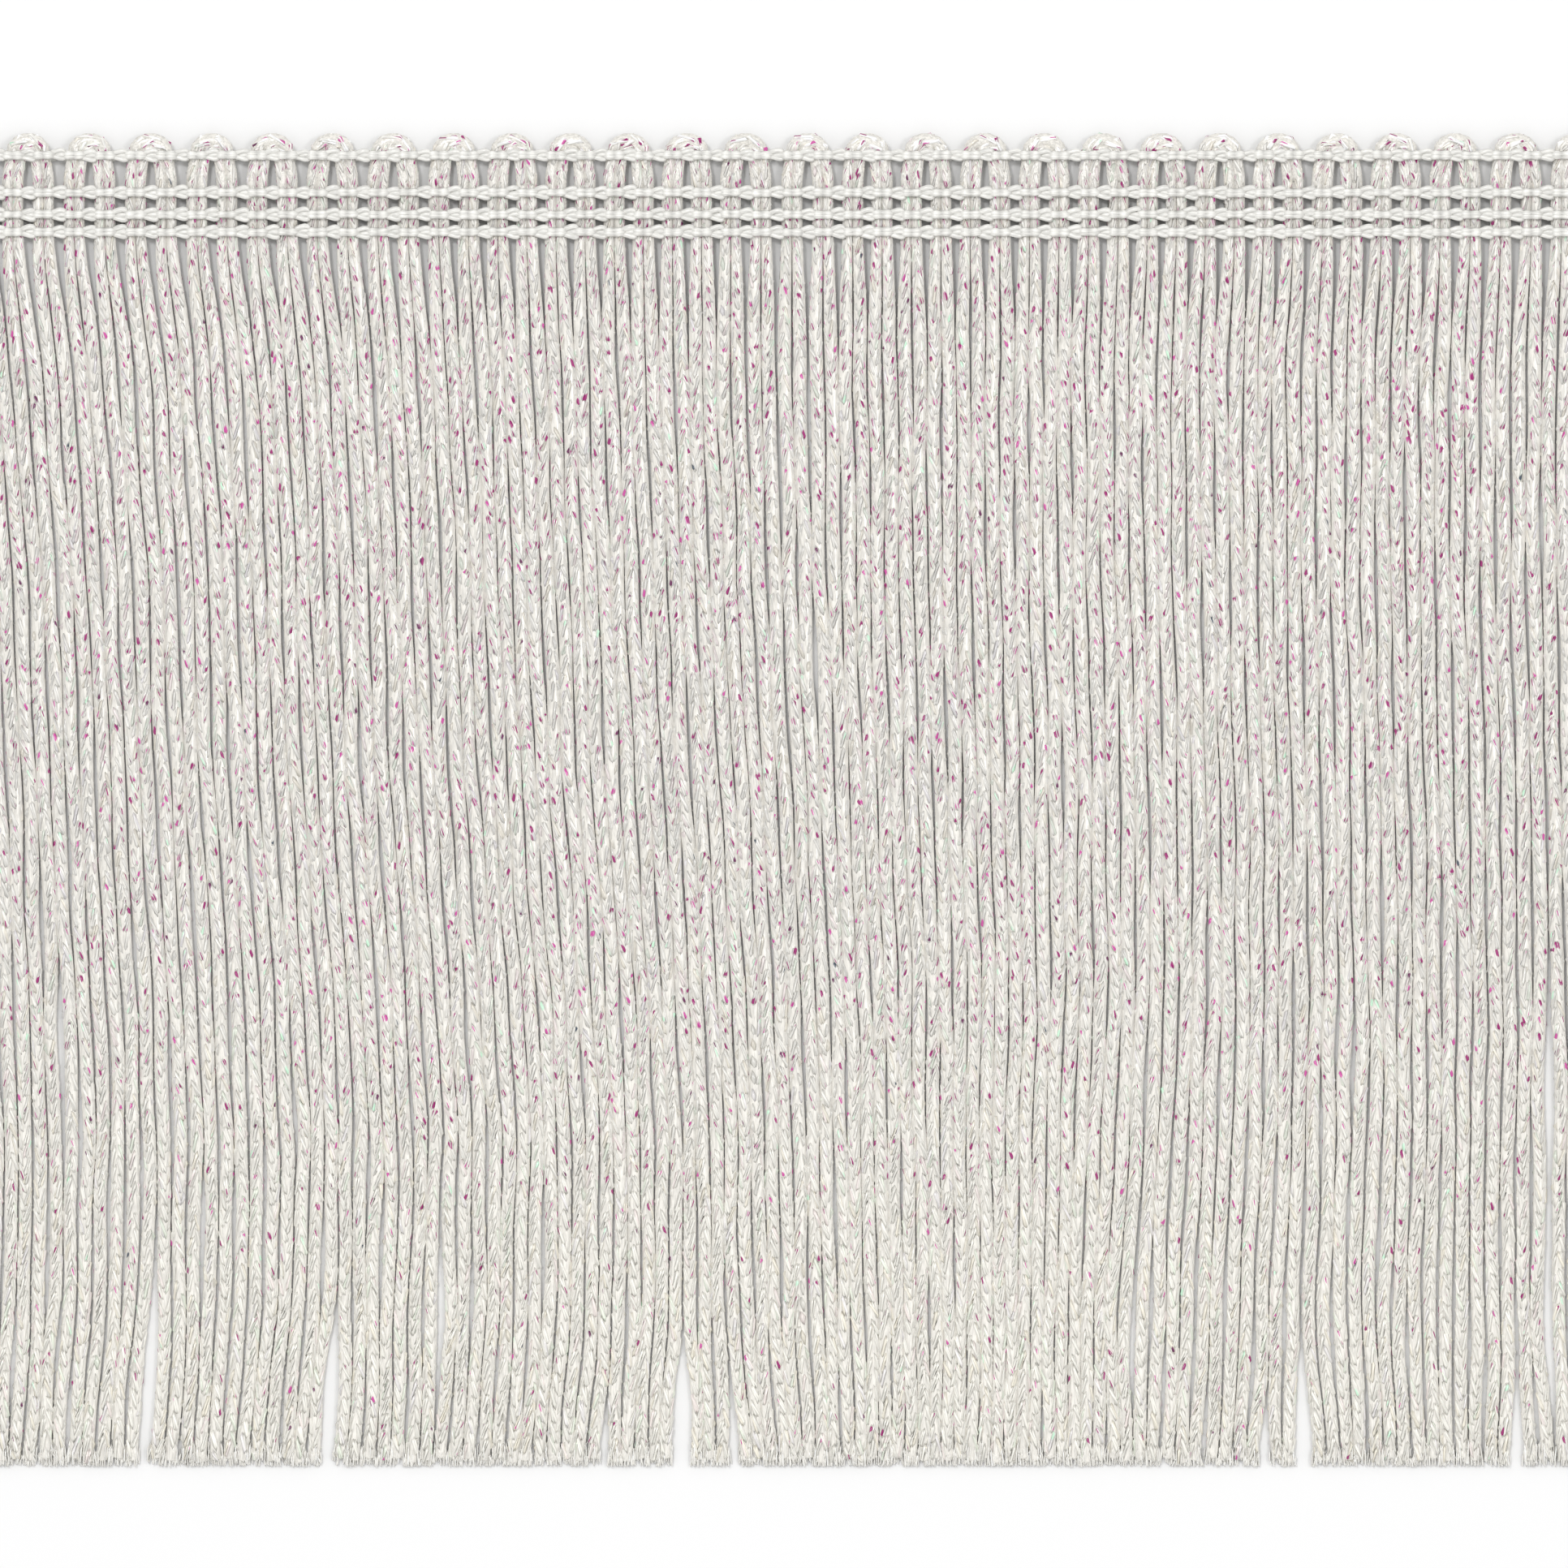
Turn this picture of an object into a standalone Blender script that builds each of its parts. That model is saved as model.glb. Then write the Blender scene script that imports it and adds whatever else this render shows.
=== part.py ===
"""Chainette fringe trim: a cut length of knitted heading with its fringe, lying flat, face up.

Twenty-eight hairpins of doubled chainette cord stand side by side. Each hairpin rises through the heading
as one column, turns over as a small lobe above the top edge and comes down as the next column. Four
chains of binding yarn run along the trim and go round every column, one chain at the top edge and three
close together at the foot of the heading. Below them the cords part and hang as the fringe.

X runs along the trim, +Y from the cut fringe ends up to the lobes, and +Z from the surface that the
trim lies on up to its face. The origin is on that surface, under the middle of the whole trim.
"""

import math

import bmesh
import bpy
from mathutils import Vector

MM = 0.001

# Driving sizes
DROP = 152.4 * MM  # a six inch trim, from the top of the lobes to the cut ends
COLUMNS = 56  # an even number, two to a hairpin
COLUMN_PITCH = 3.407 * MM
CORD_PITCH = COLUMN_PITCH / 2
CLEARANCE = 0.3 * MM  # between one piece and the next

# Depths below the top of the lobes
TOP_CHAIN_DEPTH = 2.32 * MM
LOWER_CHAIN_DEPTHS = {
    "chain_upper": 6.59 * MM,
    "chain_middle": 9.10 * MM,
    "chain_lower": 11.10 * MM,
}

# A binding chain, in section
CHAIN_HALF = 0.80 * MM  # half its width between two columns
CHAIN_HALF_OVER = 0.55 * MM  # half its width where it crosses a column
CHAIN_CHAMFER = 0.16 * MM
CHAIN_BACK = 0.45 * MM  # thickness of the yarn behind the columns
CHAIN_KNOT_TOP = 2.50 * MM
CHAIN_CREST_TOP = 2.85 * MM
CHAIN_TAIL = 1.5 * MM  # the cut end of a chain past its last column

# A column of two cords in the heading
COLUMN_HALF = 1.15 * MM
COLUMN_BASE = CHAIN_BACK + CLEARANCE
COLUMN_TOP = 1.90 * MM
GROOVE = 0.28 * MM

# The lobe in which a hairpin turns over
LOBE_HALF = 0.83 * MM
LOBE_SEGMENTS = 5

# The narrow strip that joins the roots of the fringe
STRIP_DEPTH = 12.65 * MM
STRIP_WIDTH = 0.90 * MM
STRIP_BASE = 0.95 * MM
STRIP_THICKNESS = 0.50 * MM

# A fringe cord, flat where it rests
CORD_WIDTH = 1.30 * MM
CORD_TOP_WIDTH = 0.80 * MM
CORD_HEIGHT = 1.30 * MM
CORD_LEAST_PITCH = 1.46 * MM
SPLIT_DEPTH = 13.3 * MM
STATION_DEPTHS = [26.0 * MM, 50.0 * MM, 78.0 * MM, 104.0 * MM, 130.0 * MM, DROP]
END_UNEVENNESS = 0.9 * MM

# How far the cords drift along X, in millimetres, at depths below the top of the lobes
DRIFT_PLACES = (-88.0, -60.5, -32.6, -4.8, 13.8, 27.7, 41.7, 60.2, 91.0)
DRIFT_TABLE = [
    {"depth": 13.3, "drift": (0.0, 0.0, 0.0, 0.0, 0.0, 0.0, 0.0, 0.0, 0.0)},
    {"depth": 26.0, "drift": (1.4, 1.6, 0.7, 0.0, 0.1, 0.0, -0.6, -0.7, -0.5)},
    {"depth": 49.5, "drift": (3.3, 2.8, 1.7, 0.7, 0.3, 0.0, -0.3, -0.7, -0.5)},
    {"depth": 72.7, "drift": (4.3, 3.5, 2.6, 1.9, 0.8, 0.6, 0.2, -0.2, 0.0)},
    {"depth": 95.9, "drift": (5.2, 5.2, 4.3, 3.2, 1.7, 0.9, 0.4, 0.2, 0.4)},
    {"depth": 114.5, "drift": (5.8, 6.1, 5.4, 3.9, 2.0, 0.6, -0.4, 0.0, 0.4)},
    {"depth": 133.1, "drift": (5.6, 5.8, 5.1, 4.3, 2.4, 0.4, -1.5, -0.9, 0.4)},
    {"depth": 152.4, "drift": (4.6, 4.5, 4.3, 4.5, 2.8, 0.2, -2.0, -0.6, 0.7)},
]

# How far the columns of the heading stand off an even pitch, in millimetres
COLUMN_SHIFTS = [
    {"x": -88.0, "shift": 0.0},
    {"x": -66.0, "shift": 0.65},
    {"x": -52.0, "shift": 0.8},
    {"x": -38.0, "shift": 1.1},
    {"x": -24.0, "shift": 0.8},
    {"x": -4.0, "shift": 0.35},
    {"x": 6.0, "shift": 0.75},
    {"x": 16.0, "shift": 0.6},
    {"x": 40.0, "shift": 0.4},
    {"x": 56.0, "shift": 0.0},
    {"x": 78.0, "shift": -0.25},
    {"x": 90.0, "shift": 0.0},
]

# Where the fringe parts, in millimetres: the place, the depths where it starts, is widest and closes, the
# width. One that closes below the cut ends stays open.
PARTINGS = [
    {"x": -80.6, "starts": 94.0, "widest": 107.0, "closes": 122.0, "width": 0.5},
    {"x": -71.8, "starts": 125.0, "widest": 145.0, "closes": 190.0, "width": 1.5},
    {"x": -50.6, "starts": 130.0, "widest": 148.0, "closes": 190.0, "width": 1.8},
    {"x": -38.3, "starts": 122.0, "widest": 136.0, "closes": 148.0, "width": 0.7},
    {"x": -18.0, "starts": 140.0, "widest": 151.0, "closes": 190.0, "width": 1.4},
    {"x": -10.0, "starts": 134.0, "widest": 150.0, "closes": 190.0, "width": 2.4},
    {"x": -5.4, "starts": 138.0, "widest": 152.0, "closes": 190.0, "width": 1.5},
    {"x": 23.4, "starts": 140.0, "widest": 152.0, "closes": 190.0, "width": 0.9},
    {"x": 30.5, "starts": 138.0, "widest": 150.0, "closes": 190.0, "width": 0.9},
    {"x": 41.9, "starts": 126.0, "widest": 133.0, "closes": 145.0, "width": 0.6},
    {"x": 56.3, "starts": 142.0, "widest": 152.0, "closes": 190.0, "width": 1.3},
    {"x": 61.0, "starts": 134.0, "widest": 150.0, "closes": 190.0, "width": 2.0},
    {"x": 66.6, "starts": 98.0, "widest": 108.0, "closes": 120.0, "width": 0.5},
    {"x": 84.6, "starts": 140.0, "widest": 152.0, "closes": 190.0, "width": 1.5},
    {"x": 89.6, "starts": 86.0, "widest": 108.0, "closes": 190.0, "width": 0.7},
]
PARTING_REACH = 9.0 * MM  # how quickly the cords beside a parting settle back

YARN_WHITE = (0.86, 0.85, 0.82, 1.0)
CORD_WHITE = (0.80, 0.79, 0.77, 1.0)


def height_of(depth):
    """Y of a depth below the top of the lobes."""
    return DROP / 2 - depth


def column_x(column):
    """X of a column's middle line. The knitting is a little uneven, so the pitch isn't quite constant."""
    even = (column - (COLUMNS - 1) / 2) * COLUMN_PITCH
    places = [row["x"] for row in COLUMN_SHIFTS]
    return even + between(even / MM, places, [row["shift"] for row in COLUMN_SHIFTS]) * MM


def between(value, places, amounts):
    """Straight interpolation in a table, held at its ends."""
    if value <= places[0]:
        return amounts[0]
    for k in range(1, len(places)):
        if value <= places[k]:
            share = (value - places[k - 1]) / (places[k] - places[k - 1])
            return amounts[k - 1] + share * (amounts[k] - amounts[k - 1])
    return amounts[-1]


def smooth_step(share):
    share = min(1.0, max(0.0, share))
    return share * share * (3 - 2 * share)


def lean(x, depth):
    """How far a cord that leaves the heading at x leans along X at that depth, before any parting."""
    across = [between(x / MM, DRIFT_PLACES, row["drift"]) for row in DRIFT_TABLE]
    return between(depth / MM, [row["depth"] for row in DRIFT_TABLE], across) * MM


def drift(x, depth):
    """How far a cord that leaves the heading at x has moved along X at that depth."""
    moved = lean(x, depth)
    for parting in PARTINGS:
        # a cord keeps to the side of a parting on which it lies where that is widest
        offset = x + lean(x, parting["widest"] * MM) - parting["x"] * MM
        opened = smooth_step((depth / MM - parting["starts"]) / (parting["widest"] - parting["starts"]))
        opened *= smooth_step((parting["closes"] - depth / MM) / (parting["closes"] - parting["widest"]))
        side = 1 if offset > 0 else -1
        moved += side * opened * parting["width"] * MM / 2 * math.exp(-abs(offset) / PARTING_REACH)
    return moved


def spaced(places, least):
    """The same places, moved apart where two neighbours are closer than the least pitch."""
    places = list(places)
    for _ in range(200):
        for k in range(1, len(places)):
            short = least - (places[k] - places[k - 1])
            if short > 0:
                places[k - 1] -= short / 2
                places[k] += short / 2
    return places


def cord_starts():
    """X of each fringe cord where it leaves the heading."""
    starts = []
    for column in range(COLUMNS):
        for side in (-1, 1):
            starts.append(column_x(column) + side * CORD_PITCH / 2)
    return starts


def cord_routes():
    """For each fringe cord, X at each of the station depths."""
    starts = cord_starts()
    rows = [spaced([x + drift(x, depth) for x in starts], CORD_LEAST_PITCH) for depth in STATION_DEPTHS]
    return [[row[k] for row in rows] for k in range(len(starts))]


def fabric(name, colour, roughness):
    material = bpy.data.materials.new(name)
    material.use_nodes = True
    shader = material.node_tree.nodes["Principled BSDF"]
    shader.inputs["Base Color"].default_value = colour
    shader.inputs["Roughness"].default_value = roughness
    shader.inputs["Metallic"].default_value = 0.0
    return material


def bridge(bm, first, second):
    """Quads between two rings of the same number of points."""
    count = len(first)
    for k in range(count):
        after = (k + 1) % count
        bm.faces.new((first[k], first[after], second[after], second[k]))


def ring(bm, points):
    return [bm.verts.new(p) for p in points]


def column_section(centre, outward, half, base, top):
    """Six points of two cords side by side: along the base from the outer side in, and back over the top."""
    places = [(half, base), (0.0, base), (-half, base), (-half, top), (0.0, top - GROOVE), (half, top)]
    return [centre + outward * across + Vector((0, 0, z)) for across, z in places]


def column_ring(bm, x, side, depth):
    """A ring of the column at x. side is -1 or 1, the way its outer side faces along X."""
    centre = Vector((x, height_of(depth), 0))
    return ring(bm, column_section(centre, Vector((side, 0, 0)), COLUMN_HALF, COLUMN_BASE, COLUMN_TOP))


def cord_section(x, y, base):
    """Four points of a fringe cord that rests on its flat base, from its left side."""
    half, narrow = CORD_WIDTH / 2, CORD_TOP_WIDTH / 2
    places = [(-half, base), (half, base), (narrow, base + CORD_HEIGHT), (-narrow, base + CORD_HEIGHT)]
    return [Vector((x + across, y, z)) for across, z in places]


def add_cords(bm, split, left_cord, routes):
    """The two fringe cords under one column. split is the column's last ring, from its left side."""
    low_left, low_middle, low_right, high_right, high_middle, high_left = split
    starts = [
        [low_left, low_middle, high_middle, high_left],
        [low_middle, low_right, high_right, high_middle],
    ]
    for side, start in enumerate(starts):
        cord = left_cord + side
        # a fixed irregular series, in which every seventh cord is cut at full length
        shorter = END_UNEVENNESS * ((cord * 3) % 7) / 6
        last = start
        for depth, x in zip(STATION_DEPTHS, routes[cord]):
            y = height_of(depth)
            if depth == DROP:
                y += shorter
            section = ring(bm, cord_section(x, y, 0.0))
            bridge(bm, last, section)
            last = section
        bm.faces.new(last)


def add_hairpin(bm, hairpin, routes):
    """Two columns of the heading, the lobe that joins them and the four fringe cords under them."""
    left_column = 2 * hairpin
    left_x, right_x = column_x(left_column), column_x(left_column + 1)
    middle_x = (left_x + right_x) / 2
    lobe_foot = height_of(TOP_CHAIN_DEPTH - CHAIN_HALF)
    lobe_rise = TOP_CHAIN_DEPTH - CHAIN_HALF
    lobe_radius = (right_x - left_x) / 2 - COLUMN_HALF + LOBE_HALF
    highest = max(math.sin(math.pi * k / LOBE_SEGMENTS) for k in range(LOBE_SEGMENTS))
    flatten = lobe_rise / ((lobe_radius + LOBE_HALF) * highest)

    full_width_depths = [SPLIT_DEPTH, TOP_CHAIN_DEPTH + CHAIN_HALF]
    rings = [column_ring(bm, left_x, -1, depth) for depth in full_width_depths]
    for k in range(LOBE_SEGMENTS + 1):
        turn = math.pi * k / LOBE_SEGMENTS
        outward = Vector((-math.cos(turn), math.sin(turn) * flatten, 0))
        centre = Vector((middle_x, lobe_foot, 0)) + outward * lobe_radius
        rings.append(ring(bm, column_section(centre, outward, LOBE_HALF, COLUMN_BASE, COLUMN_TOP)))
    rings += [column_ring(bm, right_x, 1, depth) for depth in reversed(full_width_depths)]
    for first, second in zip(rings, rings[1:]):
        bridge(bm, first, second)

    add_cords(bm, rings[0], 2 * left_column, routes)
    outer_low, middle_low, inner_low, inner_high, middle_high, outer_high = rings[-1]
    from_left = [inner_low, middle_low, outer_low, outer_high, middle_high, inner_high]
    add_cords(bm, from_left, 2 * left_column + 2, routes)


def finish_object(bm, name, collection, material):
    bmesh.ops.recalc_face_normals(bm, faces=bm.faces)
    mesh = bpy.data.meshes.new(name)
    bm.to_mesh(mesh)
    bm.free()
    piece = bpy.data.objects.new(name, mesh)
    piece.data.materials.append(material)
    collection.objects.link(piece)
    return piece


def make_root_strip(collection):
    """The narrow strip across the roots of the cords, which make_fringe joins to them."""
    bpy.ops.mesh.primitive_cube_add(size=1.0)
    strip = bpy.context.object
    strip.name = "root_strip"
    length = column_x(COLUMNS - 1) - column_x(0)
    for vertex in strip.data.vertices:
        vertex.co = Vector((vertex.co.x * length, vertex.co.y * STRIP_WIDTH, vertex.co.z * STRIP_THICKNESS))
    strip.location = (0, height_of(STRIP_DEPTH), STRIP_BASE + STRIP_THICKNESS / 2)
    for home in list(strip.users_collection):
        home.objects.unlink(strip)
    collection.objects.link(strip)
    strip.hide_render = True
    strip.display_type = "WIRE"
    return strip


def make_fringe(collection, cutters, material):
    routes = cord_routes()
    bm = bmesh.new()
    for hairpin in range(COLUMNS // 2):
        add_hairpin(bm, hairpin, routes)
    fringe = finish_object(bm, "fringe", collection, material)
    join = fringe.modifiers.new("join_roots", "BOOLEAN")
    join.operation = "UNION"
    join.solver = "EXACT"
    join.object = make_root_strip(cutters)
    return fringe


def chain_ring(bm, x, y):
    """Eight points of a chain at the side of a column, up the low-Y side and up the high-Y side."""
    window_top = COLUMN_TOP + CLEARANCE
    narrow = CHAIN_HALF - CHAIN_CHAMFER
    rising = [(CHAIN_HALF, 0.0), (CHAIN_HALF, CHAIN_BACK), (CHAIN_HALF, window_top), (narrow, CHAIN_KNOT_TOP)]
    low_side = ring(bm, [Vector((x, y - half, z)) for half, z in rising])
    high_side = ring(bm, [Vector((x, y + half, z)) for half, z in rising])
    return low_side, high_side


def add_knot(bm, left, right):
    """The stretch of chain between two columns, where the front and back yarns meet."""
    for low, high in ((left[0], right[0]), (left[1], right[1])):
        for k in range(len(low) - 1):
            bm.faces.new((low[k], high[k], high[k + 1], low[k + 1]))
    bm.faces.new((left[0][0], left[1][0], right[1][0], right[0][0]))
    bm.faces.new((left[0][-1], left[1][-1], right[1][-1], right[0][-1]))


def add_stitch(bm, left, right, x, y):
    """The two yarns of the chain round one column: flat behind it, and arched over its face."""
    window_top = COLUMN_TOP + CLEARANCE
    back = [[side[1][0], side[1][1], side[0][1], side[0][0]] for side in (left, right)]
    bridge(bm, back[0], back[1])
    crest_half = CHAIN_HALF_OVER - CHAIN_CHAMFER
    crest = ring(
        bm,
        [
            Vector((x, y + CHAIN_HALF_OVER, window_top)),
            Vector((x, y + crest_half, CHAIN_CREST_TOP)),
            Vector((x, y - crest_half, CHAIN_CREST_TOP)),
            Vector((x, y - CHAIN_HALF_OVER, window_top)),
        ],
    )
    front = [[side[1][2], side[1][3], side[0][3], side[0][2]] for side in (left, right)]
    bridge(bm, front[0], crest)
    bridge(bm, crest, front[1])
    for side in (left, right):
        bm.faces.new((side[0][1], side[0][2], side[1][2], side[1][1]))


def make_chain(name, depth, collection, material):
    """A binding chain: a knot between every two columns and a stitch round each."""
    y = height_of(depth)
    bm = bmesh.new()
    start = column_x(0) - COLUMN_PITCH / 2 - CHAIN_TAIL
    left = chain_ring(bm, start, y)
    bm.faces.new(left[0] + left[1][::-1])
    for column in range(COLUMNS):
        x = column_x(column)
        window_half = COLUMN_HALF + CLEARANCE
        before = chain_ring(bm, x - window_half, y)
        add_knot(bm, left, before)
        after = chain_ring(bm, x + window_half, y)
        add_stitch(bm, before, after, x, y)
        left = after
    last = chain_ring(bm, -start, y)
    add_knot(bm, left, last)
    bm.faces.new(last[0] + last[1][::-1])
    return finish_object(bm, name, collection, material)


def main():
    for old in list(bpy.data.objects):
        bpy.data.objects.remove(old)
    trim = bpy.data.collections.new("chainette_fringe_trim")
    cutters = bpy.data.collections.new("cutters")
    for collection in (trim, cutters):
        bpy.context.scene.collection.children.link(collection)
    cord_material = fabric("chainette_cord", CORD_WHITE, 0.45)
    yarn_material = fabric("binding_yarn", YARN_WHITE, 0.35)
    make_fringe(trim, cutters, cord_material)
    make_chain("chain_top", TOP_CHAIN_DEPTH, trim, yarn_material)
    for name, depth in LOWER_CHAIN_DEPTHS.items():
        make_chain(name, depth, trim, yarn_material)


main()
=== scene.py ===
"""Looks of the chainette fringe trim.

Every cord is built stitch by stitch round a plain core: four short, pointed legs of yarn to a stitch, two
on the face and two on the back, close to the line of the plain cord in the solid model. The binding chains
are made of the yarn's two legs over each column, the loop head between two columns, and the yarn behind.

X runs along the trim, +Y from the cut fringe ends up to the lobes, and +Z up from the surface it lies on.
"""

import math

import bpy
import numpy as np
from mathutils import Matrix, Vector


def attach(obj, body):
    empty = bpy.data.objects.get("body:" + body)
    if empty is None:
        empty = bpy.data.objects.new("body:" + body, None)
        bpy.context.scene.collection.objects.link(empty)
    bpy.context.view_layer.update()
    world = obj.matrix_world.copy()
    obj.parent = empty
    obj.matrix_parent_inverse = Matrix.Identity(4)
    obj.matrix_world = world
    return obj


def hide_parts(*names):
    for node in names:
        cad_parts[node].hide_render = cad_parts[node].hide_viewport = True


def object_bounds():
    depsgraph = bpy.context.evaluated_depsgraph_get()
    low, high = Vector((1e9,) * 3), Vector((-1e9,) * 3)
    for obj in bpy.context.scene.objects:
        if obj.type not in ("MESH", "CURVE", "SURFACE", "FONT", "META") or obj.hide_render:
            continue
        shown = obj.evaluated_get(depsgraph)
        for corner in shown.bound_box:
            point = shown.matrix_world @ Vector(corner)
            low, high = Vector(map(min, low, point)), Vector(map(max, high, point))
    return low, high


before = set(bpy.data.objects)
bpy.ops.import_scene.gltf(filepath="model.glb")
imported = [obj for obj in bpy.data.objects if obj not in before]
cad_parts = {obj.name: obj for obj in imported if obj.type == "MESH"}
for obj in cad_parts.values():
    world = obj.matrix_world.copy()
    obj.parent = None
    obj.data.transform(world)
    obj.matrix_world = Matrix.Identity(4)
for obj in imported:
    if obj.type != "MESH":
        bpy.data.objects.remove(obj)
cad_low, cad_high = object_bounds()

MM = 0.001

# The trim's sizes, as in the solid model
DROP = 152.4 * MM
COLUMNS = 56
COLUMN_PITCH = 3.407 * MM
CHAIN_DEPTHS = {
    "chain_top": 2.32 * MM,
    "chain_upper": 6.59 * MM,
    "chain_middle": 9.10 * MM,
    "chain_lower": 11.10 * MM,
}
COLUMN_MIDDLE = 1.32 * MM
SPLIT_DEPTH = 13.3 * MM
PAIR_DEPTH = 21.0 * MM
LIE_DEPTH = 25.0 * MM

# The cords keep further apart than in the solid model, but at the ends, and are cut more evenly
CORD_LEAST_PITCH = 1.57 * MM
HEADING_PITCH_SHARE = 0.82
END_PITCH_LOSS = 0.08
END_UNEVENNESS = 0.5 * MM
END_STEPS = 7

COLUMN_SHIFTS = [
    {"x": -88.0, "shift": 0.0},
    {"x": -66.0, "shift": 0.65},
    {"x": -52.0, "shift": 0.8},
    {"x": -38.0, "shift": 1.1},
    {"x": -24.0, "shift": 0.8},
    {"x": -4.0, "shift": 0.35},
    {"x": 6.0, "shift": 0.75},
    {"x": 16.0, "shift": 0.6},
    {"x": 40.0, "shift": 0.4},
    {"x": 56.0, "shift": 0.0},
    {"x": 78.0, "shift": -0.25},
    {"x": 90.0, "shift": 0.0},
]
DRIFT_PLACES = (-88.0, -60.5, -32.6, -4.8, 13.8, 27.7, 41.7, 60.2, 91.0)
DRIFT_TABLE = [
    {"depth": 13.3, "drift": (0.0, 0.0, 0.0, 0.0, 0.0, 0.0, 0.0, 0.0, 0.0)},
    {"depth": 26.0, "drift": (1.4, 1.6, 0.7, 0.0, 0.1, 0.0, -0.6, -0.7, -0.5)},
    {"depth": 49.5, "drift": (3.3, 2.8, 1.7, 0.7, 0.3, 0.0, -0.3, -0.7, -0.5)},
    {"depth": 72.7, "drift": (4.3, 3.5, 2.6, 1.9, 0.8, 0.6, 0.2, -0.2, 0.0)},
    {"depth": 95.9, "drift": (5.2, 5.2, 4.3, 3.2, 1.7, 0.9, 0.4, 0.2, 0.4)},
    {"depth": 114.5, "drift": (5.8, 6.1, 5.4, 3.9, 2.0, 0.6, -0.4, 0.0, 0.4)},
    {"depth": 133.1, "drift": (5.6, 5.8, 5.1, 4.3, 2.4, 0.4, -1.5, -0.9, 0.4)},
    {"depth": 152.4, "drift": (4.6, 4.5, 4.3, 4.5, 2.8, 0.2, -2.0, -0.6, 0.7)},
]
PARTINGS = [
    {"x": -80.6, "starts": 94.0, "widest": 107.0, "closes": 122.0, "width": 0.5},
    {"x": -71.8, "starts": 125.0, "widest": 145.0, "closes": 190.0, "width": 1.5},
    {"x": -50.6, "starts": 130.0, "widest": 148.0, "closes": 190.0, "width": 1.8},
    {"x": -38.3, "starts": 122.0, "widest": 136.0, "closes": 148.0, "width": 0.7},
    {"x": -18.0, "starts": 140.0, "widest": 151.0, "closes": 190.0, "width": 1.4},
    {"x": -10.0, "starts": 134.0, "widest": 150.0, "closes": 190.0, "width": 2.4},
    {"x": -5.4, "starts": 138.0, "widest": 152.0, "closes": 190.0, "width": 1.5},
    {"x": 23.4, "starts": 140.0, "widest": 152.0, "closes": 190.0, "width": 0.9},
    {"x": 30.5, "starts": 138.0, "widest": 150.0, "closes": 190.0, "width": 0.9},
    {"x": 41.9, "starts": 126.0, "widest": 133.0, "closes": 145.0, "width": 0.6},
    {"x": 56.3, "starts": 142.0, "widest": 152.0, "closes": 190.0, "width": 1.3},
    {"x": 61.0, "starts": 134.0, "widest": 150.0, "closes": 190.0, "width": 2.0},
    {"x": 66.6, "starts": 98.0, "widest": 108.0, "closes": 120.0, "width": 0.5},
    {"x": 84.6, "starts": 140.0, "widest": 152.0, "closes": 190.0, "width": 1.5},
    {"x": 89.6, "starts": 86.0, "widest": 108.0, "closes": 190.0, "width": 0.7},
]
PARTING_REACH = 9.0 * MM

# The way of a cord through the heading, round a lobe and down
CORD_OFFSET = 0.60 * MM  # from the middle of its column, in the heading
CORD_TABLE_TOP = 1.5 * MM
SPREAD_DEPTH = 11.6 * MM
LOBE_FOOT = 2.05 * MM
LOBE_STATIONS = 15
LOBE_BLEND_DEPTH = 4.6 * MM
LOBES = {
    "outer": {"radius_x": 1.84 * MM, "radius_y": 1.52 * MM},
    "inner": {"radius_x": 0.74 * MM, "radius_y": 0.62 * MM},
}
LYING_HEIGHT = 0.66 * MM
END_FLATTENING = 0.25
FREE_DEPTH = 15 * MM
SWAY = {"amount": 0.19 * MM, "wavelength": 34 * MM}
LIFT = {"amount": 0.16 * MM, "wavelength": 34 * MM}
LOOSE_START = 70 * MM
LOOSE_REACH = 75 * MM

# A chainette cord, stitch by stitch
STITCH = 1.86 * MM
LEG_LENGTH = 2.70 * MM
LEG_OUT = 0.65 * MM
LEG_STAGGER = 0.40 * MM
CORD_FLATNESS = 0.68
COLUMNS_TO_A_PIECE = 8

# A cord's girth, as a share of what it is below the heading
HEADING_GIRTH = 0.80
HEADING_FOOT = 12.0 * MM
HEADING_FADE = 12.0 * MM
CHAIN_SQUEEZE = 0.06
CHAIN_SQUEEZE_REACH = 0.9 * MM
LOBE_SWELL = 0.34
LOBE_DEPTH = 1.2 * MM
LOBE_FADE = 1.4 * MM
END_GIRTH = 0.75
END_TAPER = 2.0 * MM

PATH_STEP = 0.25 * MM
TABLE_STRIDE = 8
LEAST_HEIGHT = 0.004 * MM
SEED = 41

rng = np.random.default_rng(SEED)


def table_column(rows, key):
    return np.array([row[key] for row in rows])


def smooth_step(share):
    share = np.clip(share, 0.0, 1.0)
    return share * share * (3 - 2 * share)


def column_x(column):
    even = (column - (COLUMNS - 1) / 2) * COLUMN_PITCH
    shift = np.interp(even / MM, table_column(COLUMN_SHIFTS, "x"), table_column(COLUMN_SHIFTS, "shift"))
    return even + shift * MM


def lean(x, depth):
    """How far the cords that leave the heading at each x lean along X at one depth, before any parting."""
    across = np.array([np.interp(x / MM, DRIFT_PLACES, row["drift"]) for row in DRIFT_TABLE])
    depths = table_column(DRIFT_TABLE, "depth")
    row = np.searchsorted(depths, depth / MM) - 1
    row = int(np.clip(row, 0, len(depths) - 2))
    share = float(np.clip((depth / MM - depths[row]) / (depths[row + 1] - depths[row]), 0.0, 1.0))
    return (across[row] * (1 - share) + across[row + 1] * share) * MM


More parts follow.
